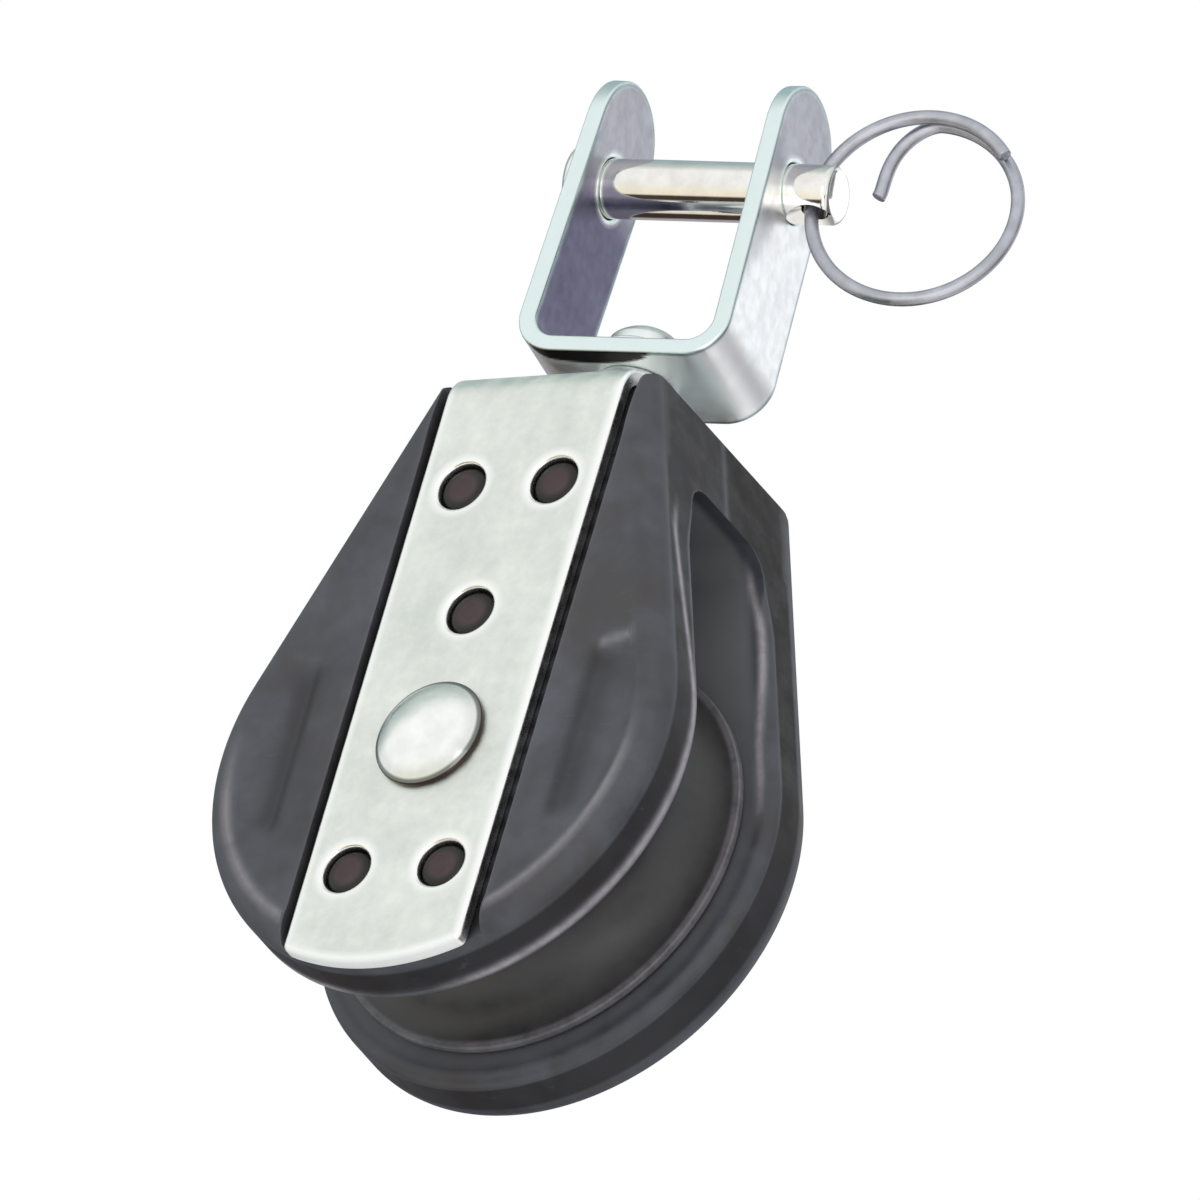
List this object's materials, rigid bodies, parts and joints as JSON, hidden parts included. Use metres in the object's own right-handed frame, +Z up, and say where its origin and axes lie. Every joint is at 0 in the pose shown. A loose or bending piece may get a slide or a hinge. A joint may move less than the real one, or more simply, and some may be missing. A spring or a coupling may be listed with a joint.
{
  "type": "swivel sailing block",
  "caption": "Single rope block: moulded shells and a ball-bearing sheave in a steel strap, on a swivelling fork with clevis pin and split ring.",
  "frame": {"origin": "centre of the clevis pin, midway between the fork's arms, on the swivel axis", "axes": "+Z up along the swivel from the block to the fork; Y along the axle of the sheave, -Y towards the rivet's domed head; X along the strap's width. The fork is turned 9 degrees about Z from the strap at rest."},
  "size_m": [0.0493, 0.03, 0.0927],
  "materials": {
    "fork_steel": "stamped stainless strip, tumbled satin with bright sheared edges",
    "stud_steel": "turned stainless, faint lathe rings, peened end",
    "pin_steel": "turned and polished stainless",
    "ring_wire": "drawn spring wire, satin grey",
    "strap_steel": "fine satin stainless with bright deburred edges",
    "shell_nylon": "moulded glass-filled nylon, charcoal, low sheen",
    "washer_plastic": "smooth dark acetal",
    "rivet_steel": "polished and headed stainless",
    "bearing_steel": "ground stainless",
    "ball_steel": "ground and polished steel balls",
    "sheave_acetal": "turned black acetal, faint circular tool marks in the rope groove"
  },
  "bodies": {
    "fork_body": {"fork": "fork_steel", "swivel_stud": "stud_steel", "stud_washer": "stud_steel"},
    "block": {"strap": "strap_steel", "front_shell": "shell_nylon", "back_shell": "shell_nylon", "top_washer": "washer_plastic", "thrust_washer": "washer_plastic", "axle_rivet": "rivet_steel", "axle_end_washer": "rivet_steel", "axle_sleeve": "bearing_steel", "inner_race": "bearing_steel", "front_race_shield": "washer_plastic", "back_race_shield": "washer_plastic"},
    "sheave_body": {"sheave": "sheave_acetal"},
    "balls": {"bearing_balls": "ball_steel"},
    "pin": {"clevis_pin": "pin_steel"},
    "ring": {"split_ring": "ring_wire"}
  },
  "joints": [
    {"name": "swivel", "type": "hinge", "parent": "fork_body", "child": "block", "pos_m": [0, 0, 0], "axis": [0, 0, 1], "continuous": true},
    {"name": "sheave_spin", "type": "hinge", "parent": "block", "child": "sheave_body", "pos_m": [0, 0, -0.0613], "axis": [0, 1, 0], "continuous": true},
    {"name": "ball_orbit", "type": "hinge", "parent": "block", "child": "balls", "pos_m": [0, 0, -0.0613], "axis": [0, 1, 0], "continuous": true},
    {"name": "pin_turn", "type": "hinge", "parent": "fork_body", "child": "pin", "pos_m": [0, 0, 0], "axis": [0.9877, 0.1564, 0], "continuous": true},
    {"name": "ring_swing", "type": "hinge", "parent": "pin", "child": "ring", "pos_m": [0.01116, 0.00177, 0], "axis": [0, 0, 1], "range_deg": [-98, 82]}
  ],
  "couplings": [
    {"joint": "ball_orbit", "follows": "sheave_spin", "ratio": 0.63415}
  ]
}
